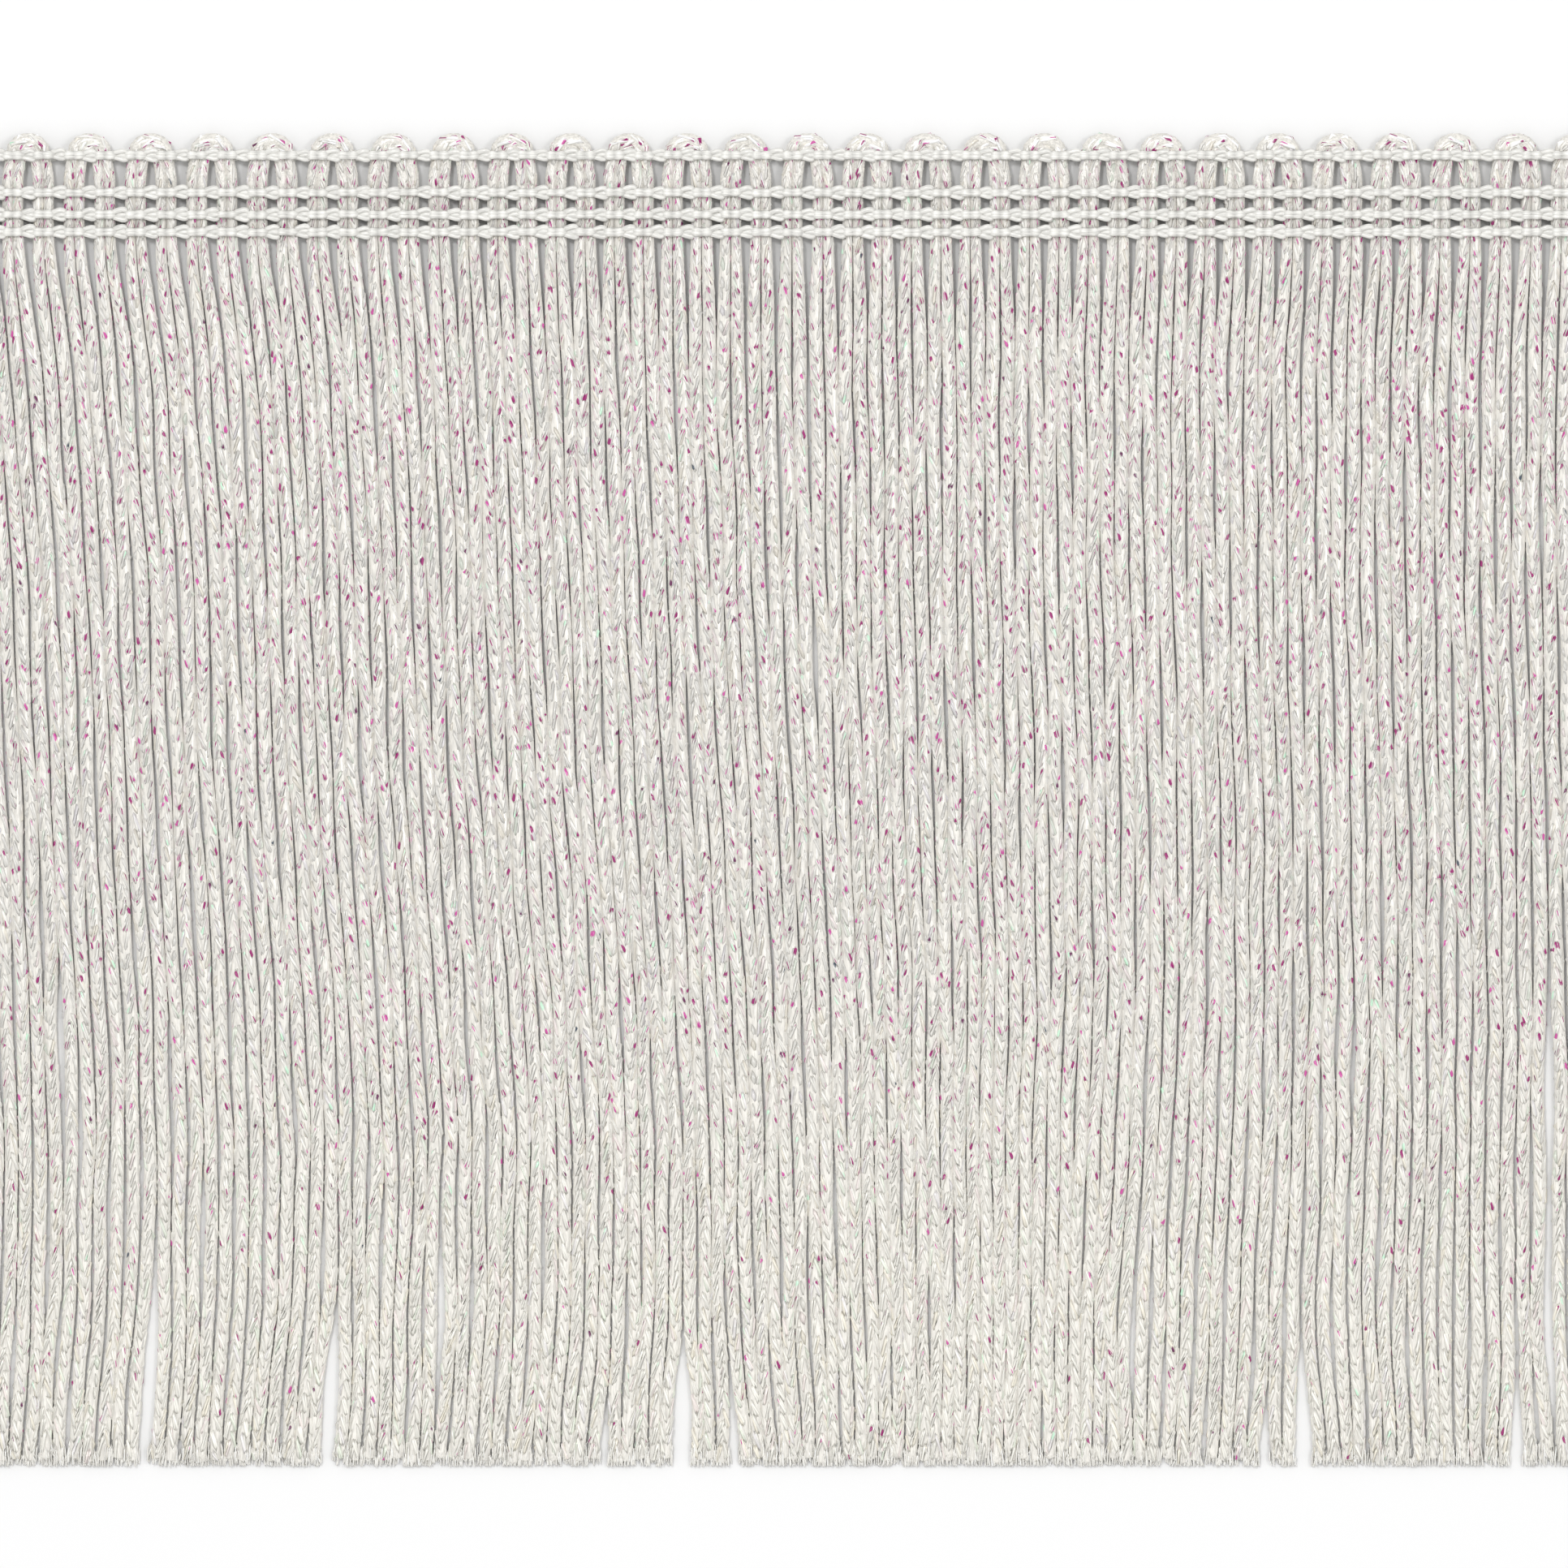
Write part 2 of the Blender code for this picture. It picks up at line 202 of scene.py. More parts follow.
def drift(x, depth):
    """How far the cords that leave the heading at each x have moved along X at one depth."""
    moved = lean(x, depth)
    for parting in PARTINGS:
        # a cord keeps to the side of a parting on which it lies where that is widest
        offset = x + lean(x, parting["widest"] * MM) - parting["x"] * MM
        opened = smooth_step((depth / MM - parting["starts"]) / (parting["widest"] - parting["starts"]))
        opened *= smooth_step((parting["closes"] - depth / MM) / (parting["closes"] - parting["widest"]))
        side = np.where(offset > 0, 1.0, -1.0)
        moved = moved + side * opened * parting["width"] * MM / 2 * np.exp(-np.abs(offset) / PARTING_REACH)
    return moved


def spaced(places, least):
    """The same places, moved apart where two neighbours are closer than the least pitch."""
    places = places.copy()
    for _ in range(60):
        short = np.maximum(least - np.diff(places), 0.0) / 2
        places[:-1] -= short
        places[1:] += short
    return places


def wander(count, places, amount, wavelength):
    """Slow random waves, one for each of count lines, at the given places along them."""
    total = np.zeros((count, len(places)))
    for octave in range(3):
        length = wavelength / (1.7**octave)
        turns = rng.uniform(0, 2 * math.pi, (count, 1))
        stretch = rng.uniform(0.8, 1.25, (count, 1))
        total += np.sin(places[None, :] / length * 2 * math.pi * stretch + turns) / (1.6**octave)
    return total * amount / 1.6


def softened(rows, reach):
    """Each row smoothed along its length."""
    kernel = np.hanning(2 * reach + 3)
    kernel /= kernel.sum()
    padded = np.pad(rows, ((0, 0), (reach + 1, reach + 1)), mode="edge")
    return np.array([np.convolve(row, kernel, mode="valid") for row in padded])


def looseness(depth):
    """How far the yarn has loosened and flattened, from 0 under the heading to 1 at the cut ends."""
    return smooth_step((depth - LOOSE_START) / LOOSE_REACH)


def cord_tables():
    """For each of the fringe cords, X and Z of its middle line at even depths from the lobe's foot down."""
    depths = np.arange(CORD_TABLE_TOP, DROP + PATH_STEP, PATH_STEP)
    columns = np.repeat(np.arange(COLUMNS), 2)
    sides = np.tile([-1.0, 1.0], COLUMNS)
    in_heading = column_x(columns) + sides * CORD_OFFSET
    below = column_x(columns) + sides * COLUMN_PITCH / 4
    rows = np.zeros((len(columns), len(depths)))
    coarse = np.arange(0, len(depths), TABLE_STRIDE)
    for k in coarse:
        spread = smooth_step((depths[k] - SPREAD_DEPTH) / (PAIR_DEPTH - SPREAD_DEPTH))
        starts = in_heading * (1 - spread) + below * spread
        if depths[k] > SPLIT_DEPTH:
            least = CORD_LEAST_PITCH * (HEADING_PITCH_SHARE + (1 - HEADING_PITCH_SHARE) * spread)
            least *= 1 - END_PITCH_LOSS * looseness(depths[k])
            starts = spaced(starts + drift(below, depths[k]), least)
        rows[:, k] = starts
    for k in range(len(columns)):
        rows[k] = np.interp(depths, depths[coarse], rows[k, coarse])
    rows = softened(rows, 10)
    free = smooth_step((depths - FREE_DEPTH) / (12 * MM))
    rows = rows + wander(len(columns), depths, SWAY["amount"], SWAY["wavelength"]) * free
    lying = smooth_step((depths - SPLIT_DEPTH) / (LIE_DEPTH - SPLIT_DEPTH))
    heights = COLUMN_MIDDLE * (1 - lying) + LYING_HEIGHT * lying
    heights = heights * (1 - END_FLATTENING * looseness(depths))
    lift = np.maximum(wander(len(columns), depths, LIFT["amount"], LIFT["wavelength"]), 0.0) * free
    return depths, rows, heights[None, :] + lift


def normalised(vectors):
    return vectors / np.linalg.norm(vectors, axis=-1, keepdims=True)


class CordPath:
    """The middle line of one cord of a hairpin, from the left cut end up, round the lobe and down."""

    def __init__(self, hairpin, outer, depths, rows, heights):
        left_x, right_x = column_x(2 * hairpin), column_x(2 * hairpin + 1)
        middle = (left_x + right_x) / 2
        left_cord = 4 * hairpin + (0 if outer else 1)
        right_cord = 4 * hairpin + (3 if outer else 2)
        lobe = LOBES["outer" if outer else "inner"]
        left = self.side(depths, rows, heights, left_cord)[::-1]
        right = self.side(depths, rows, heights, right_cord)
        turn = np.linspace(0, math.pi, LOBE_STATIONS)
        arc = np.stack(
            [
                middle - np.cos(turn) * lobe["radius_x"],
                DROP / 2 - LOBE_FOOT + np.sin(turn) * lobe["radius_y"],
                np.full_like(turn, COLUMN_MIDDLE),
            ],
            axis=1,
        )
        points = np.concatenate([left, arc, right])
        steps = np.linalg.norm(np.diff(points, axis=0), axis=1)
        run = np.concatenate([[0.0], np.cumsum(steps)])
        self.places = np.arange(0, run[-1], PATH_STEP)
        self.length = run[-1]
        self.turn = run[len(left) + len(turn) // 2]
        line = np.stack([np.interp(self.places, run, points[:, k]) for k in range(3)])
        self.line = softened(line, 2).T
        self.along = normalised(np.gradient(self.line, axis=0))
        up = np.array([0.0, 0.0, 1.0])
        self.up = normalised(up - self.along * (self.along @ up)[:, None])
        self.side_way = np.cross(self.along, self.up)
        self.girth = self.girths(DROP / 2 - self.line[:, 1])

    def girths(self, depth):
        """The cord's girth at each of its places. depth is how far each is below the top edge."""
        heading = 1 - smooth_step((depth - HEADING_FOOT) / HEADING_FADE)
        girth = 1 - (1 - HEADING_GIRTH) * heading
        for row_depth in CHAIN_DEPTHS.values():
            squeeze = np.exp(-(((depth - row_depth) / CHAIN_SQUEEZE_REACH) ** 2))
            girth = girth * (1 - CHAIN_SQUEEZE * squeeze)
        girth = girth * (1 + LOBE_SWELL * (1 - smooth_step((depth - LOBE_DEPTH) / LOBE_FADE)))
        ends = np.minimum(self.places, self.length - self.places)
        return girth * (END_GIRTH + (1 - END_GIRTH) * smooth_step(ends / END_TAPER))

    def side(self, depths, rows, heights, cord):
        """The points of one cord from under the lobe down to its cut end."""
        last = DROP - 0.1 * MM - END_UNEVENNESS * ((cord * 3) % END_STEPS) / (END_STEPS - 1)
        kept = (depths > LOBE_BLEND_DEPTH) & (depths <= last)
        return np.stack([rows[cord, kept], DROP / 2 - depths[kept], heights[cord, kept]], axis=1)

    def at(self, places):
        """Middle, along, up, sideways and girth at places, an array of any shape."""
        flat = places.reshape(-1)
        found = []
        for values in (self.line, self.along, self.up, self.side_way):
            columns = [np.interp(flat, self.places, values[:, k]) for k in range(3)]
            found.append(np.stack(columns, axis=1).reshape(places.shape + (3,)))
        girth = np.interp(flat, self.places, self.girth).reshape(places.shape)
        return (*found, girth)


def spindles(points, outward, wide, thick, sides):
    """Corner points of closed spindles. points and outward are (count, stations, 3), wide and thick
    (count, stations). The first and last stations are the tips."""
    along = normalised(np.gradient(points, axis=1))
    out = normalised(outward - along * (outward * along).sum(-1, keepdims=True))
    across = np.cross(out, along)
    angles = np.arange(sides) * 2 * math.pi / sides + math.pi / 2
    middle = points[:, 1:-1, None, :]
    rings = (
        middle
        + (wide[:, 1:-1, None] * np.cos(angles))[..., None] * across[:, 1:-1, None, :]
        + (thick[:, 1:-1, None] * np.sin(angles))[..., None] * out[:, 1:-1, None, :]
    )
    count = points.shape[0]
    return np.concatenate([points[:, :1], rings.reshape(count, -1, 3), points[:, -1:]], axis=1)


def spindle_faces(stations, sides):
    """Faces of one spindle, as lists of its corners."""
    faces = []
    rings = stations - 2
    last = 1 + rings * sides
    for k in range(sides):
        after = (k + 1) % sides
        faces.append([0, 1 + after, 1 + k])
    for r in range(rings - 1):
        low, high = 1 + r * sides, 1 + (r + 1) * sides
        for k in range(sides):
            after = (k + 1) % sides
            faces.append([low + k, low + after, high + after, high + k])
    for k in range(sides):
        after = (k + 1) % sides
        faces.append([last, last - sides + k, last - sides + after])
    return faces


class Batch:
    """Spindles of one kind gathered for one mesh, with their attributes."""

    def __init__(self):
        self.parts = []

    def add(self, points, outward, wide, thick, sides, tint, glint=None, lustre=(1.0, 1.0), shades=None):
        """tint is (count, 3). glint is (count, corners, 4), a colour and how much of it shows, or None.
        The pair after glint is the share of the tint along the inner and the outer side of the yarn: painted
        shade on the inner side, painted highlight on the crest. The last argument is its share along the
        length, (count, stations), or None: painted shade, highlight and light along the yarn."""
        corners = spindles(points, outward, wide, thick, sides)
        count, each = corners.shape[:2]
        stations = points.shape[1]
        share = np.concatenate([[0.0], np.repeat(np.arange(1, stations - 1), sides), [stations - 1]])
        length = np.linalg.norm(np.diff(points, axis=1), axis=-1).sum(1)
        around = np.concatenate([[0.0], np.tile(np.arange(sides) * 2 * math.pi / sides, stations - 2), [0.0]])
        radius = np.ones(each)
        radius[[0, -1]] = 0.0
        fibre = np.zeros((count, each, 3))
        fibre[..., 0] = share[None, :] / (stations - 1) * length[:, None] / MM
        fibre[..., 1] = np.cos(around) * radius * (wide.max(1) / MM)[:, None]
        fibre[..., 2] = np.sin(around) * radius * (thick.max(1) / MM)[:, None]
        fibre += rng.uniform(0, 60, (count, 1, 3))
        # The outer crest keeps more of the tint than the inner side: painted highlight on the crest, painted
        # shade on the inner side
        outer = np.where(radius > 0, (np.cos(around) + 1) / 2, 0.5)
        shade = np.ones((count, 1)) * (lustre[0] + (lustre[1] - lustre[0]) * outer**2)
        # Painted shade, highlight and light along the length of the yarn
        if shades is not None:
            shade = shade * shades[:, share.astype(int)]
        tint = tint[:, None, :] * shade[..., None]
        if glint is None:
            glint = np.zeros((count, each, 4))
        self.parts.append((corners, spindle_faces(stations, sides), tint, glint, fibre))

    def mesh(self, name):
        corners, tints, glints, fibres = [], [], [], []
        loops, sizes = [], []
        start = 0
        for points, faces, tint, glint, fibre in self.parts:
            count, each = points.shape[:2]
            offsets = start + np.arange(count) * each
            flat = np.concatenate([np.array(face) for face in faces])
            loops.append((offsets[:, None] + flat[None, :]).reshape(-1))
            sizes.append(np.tile([len(face) for face in faces], count))
            corners.append(points.reshape(-1, 3))
            tints.append(tint.reshape(-1, 3))
            glints.append(glint.reshape(-1, 4))
            fibres.append(fibre.reshape(-1, 3))
            start += count * each
        corners, loops, sizes = np.concatenate(corners), np.concatenate(loops), np.concatenate(sizes)
        corners[:, 2] = np.maximum(corners[:, 2], LEAST_HEIGHT)
        mesh = bpy.data.meshes.new(name)
        mesh.vertices.add(len(corners))
        mesh.vertices.foreach_set("co", corners.reshape(-1).astype(np.float32))
        mesh.loops.add(len(loops))
        mesh.loops.foreach_set("vertex_index", loops.astype(np.int32))
        mesh.polygons.add(len(sizes))
        starts = np.concatenate([[0], np.cumsum(sizes)[:-1]])
        mesh.polygons.foreach_set("loop_start", starts.astype(np.int32))
        mesh.polygons.foreach_set("loop_total", sizes.astype(np.int32))
        mesh.update(calc_edges=True)
        mesh.polygons.foreach_set("use_smooth", np.ones(len(sizes), bool))
        # The tint attribute carries each corner's colour with the painted shade, highlight and light
        # multiplied into it
        colour = np.ones((len(corners), 4), np.float32)
        colour[:, :3] = np.concatenate(tints)
        mesh.attributes.new("tint", "FLOAT_COLOR", "POINT").data.foreach_set("color", colour.reshape(-1))
        glint = np.concatenate(glints).astype(np.float32)
        mesh.attributes.new("glint", "FLOAT_COLOR", "POINT").data.foreach_set("color", glint.reshape(-1))
        fibre = np.concatenate(fibres).astype(np.float32)
        mesh.attributes.new("fibre", "FLOAT_VECTOR", "POINT").data.foreach_set("vector", fibre.reshape(-1))
        return mesh


# The legs of a stitch: places along the leg, and there the share of the cord's radius, the angle in degrees
# from the middle of the face, and how full the leg is. A leg on the face is two strands twisted together.
FACE_LEG = {
    "sides": 4,
    "wide": 0.215 * MM,
    "thick": 0.185 * MM,
    "share": np.array([0.0, 0.22, 0.76, 1.0]),
    "radial": np.array([0.62, 0.98, 1.00, 0.70]),
    "angle": np.array([80.0, 68.0, 25.0, 8.0]),
    "swell": np.array([0.0, 1.0, 0.92, 0.0]),
}
BACK_LEG = {
    "sides": 4,
    "wide": 0.345 * MM,
    "thick": 0.23 * MM,
    "share": np.array([0.0, 0.5, 1.0]),
    "radial": np.array([0.50, 1.0, 0.70]),
    "angle": np.array([84.0, 48.0, 8.0]),
    "swell": np.array([0.0, 1.1, 0.0]),
}
LEG_PAINTED_CREST_SHADING = (0.76, 1.05)  # painted shade along the inner side of the yarn and painted highlight along its outer side
# Painted shade and highlight: the darkest and the lightest that a face leg is at each station
LEG_PAINTED_SHADING = [(1.05, 1.05), (0.86, 1.06), (0.92, 1.27), (0.82, 0.92)]
LEG_TINT = (0.86, 0.99)
# Painted light: how much lighter the yarn is made in the lobes, in the heading and where it is loose
LOBE_PAINTED_LIGHT = 0.50
HEADING_PAINTED_LIGHT = 0.12
HEADING_PAINTED_LIGHT_FADE = 6.0 * MM
LOOSE_PAINTED_LIGHT = 0.10
LOOSE_STRAW = 0.03
# How much wider and thinner a leg is where it is loose
LOOSE_WIDER = 0.06
LOOSE_THINNER = 0.15

# How much the stitches differ, as shares unless they say otherwise
STITCH_RANGE = (0.94, 1.06)
STITCH_START = (-0.2, 0.6)
STITCH_SHAKE = 0.12 * MM
LEG_LENGTH_RANGE = (0.88, 1.14)
LEG_GIRTH_RANGE = (0.84, 1.16)
LEG_SHAKE = 0.10 * MM
LEG_TURN = 0.18  # radians about the cord
CORD_TURN = {"start": 0.35, "amount": 0.95, "wavelength": 62 * MM}  # the same
GLINT_RUN = 14 * MM

STRAND_SPREAD = 13.0  # degrees about the cord
STRAND_RISE = 0.12  # of the cord's radius
STRAND_TWIST = 0.55 * math.pi
CORE = {
    "wide": 0.88 * MM,
    "thick": 0.46 * MM,
    "sides": 6,
    "step": 3.6 * MM,
    "lobe_step": 0.8 * MM,
    "tip": 0.4 * MM,
    "tint": (1.02, 1.01, 0.99),
}

TINTS = [
    {"colour": (0.89, 0.96, 0.90), "share": 0.06},
    {"colour": (0.97, 0.90, 0.93), "share": 0.05},
    {"colour": (0.92, 0.91, 0.97), "share": 0.04},
    {"colour": (0.94, 0.91, 0.85), "share": 0.10},
]

# Flecks of the glittering filament, and a few painted glints: a linear colour, the share of the legs and the
# size
FLECKS_AND_PAINTED_GLINTS = [
    {"colour": (0.34, 0.005, 0.16), "share": 0.090, "size": (0.58, 0.84)},
    {"colour": (0.62, 0.07, 0.36), "share": 0.060, "size": (0.56, 0.78)},
    {"colour": (0.14, 0.01, 0.09), "share": 0.020, "size": (0.56, 0.72)},
    {"colour": (0.05, 0.07, 0.10), "share": 0.003, "size": (0.58, 0.70)},
    # Pale green painted glints of highlight on the filament
    {"colour": (0.60, 0.90, 0.68), "share": 0.020, "size": (0.60, 0.90)},
]
# How common they are at each depth in millimetres
GLINT_DEPTHS = (0.0, 15.0, 60.0, 100.0, 125.0, 150.0)
GLINT_AMOUNTS = (6.2, 6.0, 3.5, 2.8, 1.2, 0.6)


def leg_tints(count, depth):
    """A near-white for each leg of yarn, a few of them faintly green, pink, lavender or straw. It is
    lightened as painted light in the lobes, in the heading and where the yarn is loose.
    """
    tints = np.ones((count, 3)) * rng.uniform(*LEG_TINT, (count, 1))
    draw = rng.uniform(0, 1, count)
    reached = 0.0
    for row in TINTS:
        chosen = (draw >= reached) & (draw < reached + row["share"])
        tints[chosen] = np.array(row["colour"]) * rng.uniform(0.95, 1.03, (chosen.sum(), 1))
        reached += row["share"]
    lobe = 1 - smooth_step((depth - LOBE_DEPTH) / LOBE_DEPTH)
    heading = 1 - smooth_step((depth - HEADING_FOOT) / HEADING_PAINTED_LIGHT_FADE)
    # Painted light in the lobes, in the heading and on the loose yarn near the ends
    painted_light = LOBE_PAINTED_LIGHT * lobe + HEADING_PAINTED_LIGHT * heading + LOOSE_PAINTED_LIGHT * looseness(depth)
    tints = tints * (1 + painted_light)[:, None]
    tints[:, 2] *= 1 - LOOSE_STRAW * looseness(depth)
    return tints


def leg_flecks_and_painted_glints(count, luck, depth):
    """Small bright flecks on the outer side of some legs: most are the filament's own colour, the pale green
    ones are painted glints of highlight. luck, one value a leg, makes them come in runs.
    """
    sides, rings = FACE_LEG["sides"], len(FACE_LEG["share"]) - 2
    glints = np.zeros((count, sides * rings + 2, 4))
    common = np.interp(depth / MM, GLINT_DEPTHS, GLINT_AMOUNTS)
    draw = rng.uniform(0, 1, count) / (np.clip(1.0 + 0.9 * luck, 0.15, 3.0) * common)
    reached = 0.0
    for row in FLECKS_AND_PAINTED_GLINTS:
        chosen = np.nonzero((draw >= reached) & (draw < reached + row["share"]))[0]
        glints[chosen, :, :3] = np.array(row["colour"])
        reached += row["share"]
        ring = 1 + sides * rng.integers(0, rings, len(chosen))
        size = rng.uniform(*row["size"], len(chosen))
        glints[chosen, ring, 3] = size
        beside = rng.choice([1, sides - 1], len(chosen))
        glints[chosen, ring + beside, 3] = size * rng.choice([0.0, 0.0, 0.8], len(chosen))
    return glints


def leg_painted_shading(count, loose):
    """How light a face leg is at each station, as painted shade and highlight. Loosened yarn is lighter and
    more even, with painted light.
    """
    low, high = np.array(LEG_PAINTED_SHADING).T
    shades = low + (high - low) * rng.uniform(0, 1, (count, len(LEG_PAINTED_SHADING)))
    # Painted light on the loose yarn near the ends
    return 1 + (shades - 1) * (1 - 0.7 * loose) + 0.12 * loose


def strand_paths(path, leg, places, turned, side, strand, phase):
    """Middle points and outward directions of one strand of many legs. strand is -1, 0 or 1."""
    middle, along, up, sideways, girth = path.at(places)
    loose = looseness(DROP / 2 - middle[..., 1])
    twist = phase + STRAND_TWIST * leg["share"][None, :]
    degrees = side * leg["angle"][None, :] + strand * STRAND_SPREAD * np.cos(twist)
    angle = turned + np.radians(degrees)
    radial = LEG_OUT * girth * (leg["radial"][None, :] + strand * STRAND_RISE * np.sin(twist))
    flatness = CORD_FLATNESS * (1 - LOOSE_THINNER * loose)
    outward = (np.cos(angle) * flatness)[..., None] * up + np.sin(angle)[..., None] * sideways
    return middle + outward * radial[..., None], outward, girth, DROP / 2 - middle[:, 1, 1]


def add_stitches(batch, path):
    """The legs of yarn of one cord of a hairpin, two on the face and two on the back of every stitch."""
    stitch = STITCH * rng.uniform(*STITCH_RANGE)
    count = int((path.length - 0.8 * MM) / stitch)
    starts = (np.arange(count) + rng.uniform(*STITCH_START)) * stitch + rng.normal(0, STITCH_SHAKE, count)
    starts = np.maximum(starts, 0.1 * MM)
    twist = wander(1, path.places, CORD_TURN["amount"], CORD_TURN["wavelength"])[0]
    twist = twist + rng.normal(0, CORD_TURN["start"])
    luck = wander(1, starts, 1.0, GLINT_RUN)[0]
    for leg, shift, turn, strands in ((FACE_LEG, 0.0, 0.0, (-1, 1)), (BACK_LEG, STITCH / 2, math.pi, (0,))):
        for side in (-1, 1):
            length = LEG_LENGTH * rng.uniform(*LEG_LENGTH_RANGE, count)
            late = shift + side * LEG_STAGGER + rng.normal(0, LEG_SHAKE, (count, 1))
            places = starts[:, None] + late + leg["share"][None, :] * length[:, None]
            places = np.clip(places, 0.0, path.length)
            turned = np.interp(places, path.places, twist) + turn + rng.normal(0, LEG_TURN, (count, 1))
            phase = rng.uniform(0, 2 * math.pi, (count, 1))
            for strand in strands:
                points, outward, girth, depth = strand_paths(path, leg, places, turned, side, strand, phase)
                swell = leg["swell"][None, :] * girth * rng.uniform(*LEG_GIRTH_RANGE, (count, 1))
                tint = leg_tints(count, depth)
                glint = leg_flecks_and_painted_glints(count, luck, depth) if leg is FACE_LEG else None
                loose = looseness(depth)[:, None]
                wide = leg["wide"] * swell * (1 + LOOSE_WIDER * loose)
                thick = leg["thick"] * swell * (1 - LOOSE_THINNER * loose)
                shades = leg_painted_shading(count, loose) if leg is FACE_LEG else None
                batch.add(points, outward, wide, thick, leg["sides"], tint, glint, LEG_PAINTED_CREST_SHADING, shades)


def add_core(batch, path):
    """The yarn inside one cord of a hairpin, which its legs lie on."""
    first, last = 0.1 * MM, path.length - 0.1 * MM
    lobe = (path.turn - 6 * MM, path.turn + 6 * MM)
    places = np.concatenate(
        [
            [first, first + CORE["tip"]],
            np.arange(first + CORE["step"], lobe[0], CORE["step"]),
            np.arange(lobe[0], lobe[1], CORE["lobe_step"]),
            np.arange(lobe[1], last - 1.5 * CORE["tip"], CORE["step"]),
            [last - CORE["tip"], last],
        ]
    )
    middle, along, up, sideways, girth = path.at(places[None, :])
    loose = looseness(DROP / 2 - middle[..., 1])
    wide = CORE["wide"] * girth * (1 - 0.08 * loose)
    thick = CORE["thick"] * girth * (1 - 0.25 * loose)
    tint = np.array([CORE["tint"]])
    # Painted light on the loose yarn near the cut ends
    batch.add(middle, up, wide, thick, CORE["sides"], tint, shades=1 + 0.08 * loose)


# Loose filaments at a cut end: ranges in millimetres, but for the tint, which lightens the filaments as
# painted light where they lie in each other's shade
FRAY = {
    "across": (-0.8, 0.8),
    "root_back": (0.7, 2.8),
    "root_rise": (-0.25, 0.38),
    "tip_height": (0.20, 0.70),
    "girth": (0.09, 0.14),
    "tint": (1.2, 1.35),
}
FRAY_BOW = 0.14 * MM
FRAY_LEAST_HEIGHT = 0.06 * MM
CORD_FRAY = {"count": 28, "spread": 0.14 * MM, "reach": 0.9 * MM}
TAIL_FRAY = {"count": 8, "spread": 0.25 * MM, "reach": 0.2 * MM}


def add_frayed_end(batch, end, along, count, spread, reach):
    """Loose filaments at a cut end. along points out of it."""
    share = np.array([0.0, 0.3, 0.9, 1.0])
    stations = len(share)
    side = np.array([-along[1], along[0], 0.0])
    side /= np.linalg.norm(side)
    offset = rng.uniform(*FRAY["across"], (count, 1)) * MM
    back = rng.uniform(*FRAY["root_back"], (count, 1)) * MM
    start = end[None, :] - along[None, :] * back + side[None, :] * offset
    start[:, 2] += rng.uniform(*FRAY["root_rise"], count) * MM
    out = rng.uniform(-0.2, 1.0, (count, 1)) * reach
    splay = offset * 0.15 + rng.normal(0, 1, (count, 1)) * spread
    tip = end[None, :] + along[None, :] * out + side[None, :] * (offset + splay)
    tip[:, 1] = np.maximum(tip[:, 1], -DROP / 2)
    tip[:, 2] = rng.uniform(*FRAY["tip_height"], count) * MM
    bow = rng.normal(0, 1, (count, 3)) * FRAY_BOW
    bend = np.sin(share * math.pi)[None, :, None]
    points = start[:, None, :] * (1 - share)[None, :, None] + tip[:, None, :] * share[None, :, None]
    points = points + bow[:, None, :] * bend
    points[..., 2] = np.maximum(points[..., 2], FRAY_LEAST_HEIGHT)
    outward = np.zeros_like(points)
    outward[..., 2] = 1.0
    girth = rng.uniform(*FRAY["girth"], (count, 1)) * MM * np.ones((1, stations))
    # The tint above 1 is painted light on filaments in each other's shade
    tint = np.ones((count, 3)) * rng.uniform(*FRAY["tint"], (count, 1))
    batch.add(points, outward, girth, girth, 3, tint)


CHAIN_SPREAD = 0.18 * MM
CHAIN_LEG = {"wide": 0.34 * MM, "thick": 0.24 * MM, "sides": 6, "stations": 11}
CHAIN_LEG_SLANT = 0.25 * MM
CHAIN_LEG_DIP = 0.25 * MM  # into the loop head at each end
CHAIN_POST = {"wide": 0.50 * MM, "thick": 0.60 * MM}
HUMP_RISE = 0.46 * MM
HUMP_WIDTH = 0.36 * MM
CHAIN_FACE_HEIGHT = 2.02 * MM
CHAIN_PAINTED_HUMP_SHADING = (0.80, 1.12)  # painted shade between the cords and painted highlight on top of them
CHAIN_BACK = {"spread": 0.46 * MM, "height": 0.34 * MM, "wide": 0.34 * MM, "thick": 0.28 * MM}

# The loop head between two columns, in millimetres: the yarn over it, the yarn under it and the yarn between
# Painted shade along the inner side of the loop heads' yarn
HEAD_PAINTED_CREST_SHADING = (0.76, 1.0)
HEAD_YARNS = [
    {
        "x": [-1.02, -0.52, 0.05, 0.50, 1.00],
        "y": [0.16, 0.34, 0.50, 0.58, 0.20],
        "z": [1.88, 2.06, 2.20, 2.22, 1.98],
        "wide": 0.34,
        "thick": 0.28,
    },
    {
        "x": [-1.02, -0.52, 0.05, 0.56, 1.00],
        "y": [-0.14, -0.26, -0.42, -0.58, -0.22],
        "z": [1.88, 2.00, 2.10, 2.08, 1.92],
        "wide": 0.34,
        "thick": 0.28,
    },
    {
        "x": [-0.75, -0.28, 0.20, 0.62, 1.05],
        "y": [-0.02, -0.06, 0.03, 0.00, 0.00],
        "z": [1.80, 1.86, 2.14, 2.16, 1.95],
        "wide": 0.34,
        "thick": 0.30,
    },
]


def gap_places():
    """X of the middle of each gap between columns, with one more at each end."""
    columns = np.arange(-1, COLUMNS)
    return (column_x(columns) + column_x(columns + 1)) / 2


def chain_tints(count):
    return np.ones((count, 3)) * rng.uniform(0.95, 1.0, (count, 1))


